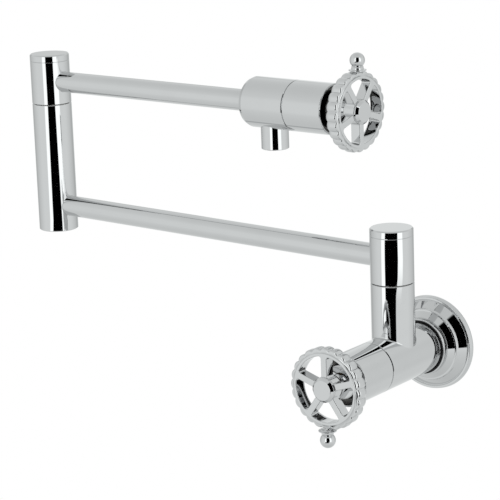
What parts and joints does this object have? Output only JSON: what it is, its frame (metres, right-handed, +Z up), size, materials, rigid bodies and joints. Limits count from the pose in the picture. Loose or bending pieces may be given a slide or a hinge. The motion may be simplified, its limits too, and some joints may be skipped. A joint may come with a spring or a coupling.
{
  "type": "wall mounted pot filler",
  "caption": "Wall mounted pot filler with a folding double-jointed arm, a shut-off at each end with a cogged handwheel, and a short downward outlet.",
  "frame": {"origin": "centre of the pipe inlet where it meets the wall face", "axes": "+X to the right seen from the room, +Y into the wall, +Z up; the room is on the -Y side"},
  "size_m": [0.3993, 0.146, 0.2647],
  "materials": {
    "chrome": "polished chrome plate on brass",
    "brass": "machined",
    "stainless": "bright turned",
    "rubber": "moulded, slightly greased",
    "ceramic": "lapped white ceramic",
    "white_polymer": "low-friction white polymer",
    "grey_polymer": "moulded grey polymer"
  },
  "bodies": {
    "wall_body": {"wall_flange": "chrome", "flange_gasket": "rubber", "flange_grip_ring": "rubber", "base_valve_body": "chrome", "base_bonnet": "chrome", "base_collar_nut": "chrome", "base_cartridge_body": "brass", "base_cartridge_ring": "rubber", "base_seat_seal": "rubber", "base_fixed_disc": "ceramic", "base_swivel_spindle": "brass", "base_swivel_low_ring": "rubber", "base_swivel_top_ring": "rubber", "base_thrust_washer": "white_polymer", "base_retaining_washer": "stainless", "base_retaining_nut": "stainless"},
    "lower_arm": {"base_swivel_housing": "chrome", "base_swivel_cap": "chrome", "lower_arm_tube": "chrome", "elbow_post": "chrome", "elbow_swivel_spindle": "brass", "elbow_swivel_low_ring": "rubber", "elbow_swivel_top_ring": "rubber", "elbow_thrust_washer": "white_polymer", "elbow_retaining_washer": "stainless", "elbow_retaining_nut": "stainless"},
    "upper_arm": {"elbow_swivel_housing": "chrome", "elbow_swivel_cap": "chrome", "upper_arm_tube": "chrome", "spout_valve_body": "chrome", "spout_bonnet": "chrome", "spout_collar_nut": "chrome", "spout_cartridge_body": "brass", "spout_cartridge_ring": "rubber", "spout_seat_seal": "rubber", "spout_fixed_disc": "ceramic", "outlet_nozzle": "chrome", "outlet_washer": "rubber", "stream_insert": "grey_polymer"},
    "base_wheel": {"base_moving_disc": "ceramic", "base_stem": "brass", "base_stem_rings": "rubber", "base_stop_ring": "rubber", "base_handwheel": "chrome", "base_finial": "chrome", "base_hub_button": "chrome", "base_wheel_screw": "stainless"},
    "spout_wheel": {"spout_moving_disc": "ceramic", "spout_stem": "brass", "spout_stem_rings": "rubber", "spout_stop_ring": "rubber", "spout_handwheel": "chrome", "spout_finial": "chrome", "spout_hub_button": "chrome", "spout_wheel_screw": "stainless"}
  },
  "joints": [
    {"name": "base_swivel", "type": "hinge", "parent": "wall_body", "child": "lower_arm", "pos_m": [0, -0.0524, 0.0578], "axis": [0, 0, 1], "range_deg": [-0.5, 190.6]},
    {"name": "elbow_swivel", "type": "hinge", "parent": "lower_arm", "child": "upper_arm", "pos_m": [-0.34764, -0.02162, 0.1603], "axis": [0, 0, 1], "range_deg": [-180, 180]},
    {"name": "base_valve_turn", "type": "hinge", "parent": "wall_body", "child": "base_wheel", "pos_m": [0, -0.0822, 0], "axis": [0, -1, 0], "range_deg": [0, 90]},
    {"name": "spout_valve_turn", "type": "hinge", "parent": "upper_arm", "child": "spout_wheel", "pos_m": [-0.09008, -0.03827, 0.1783], "axis": [0.9979, -0.0645, 0], "range_deg": [0, 90]}
  ]
}
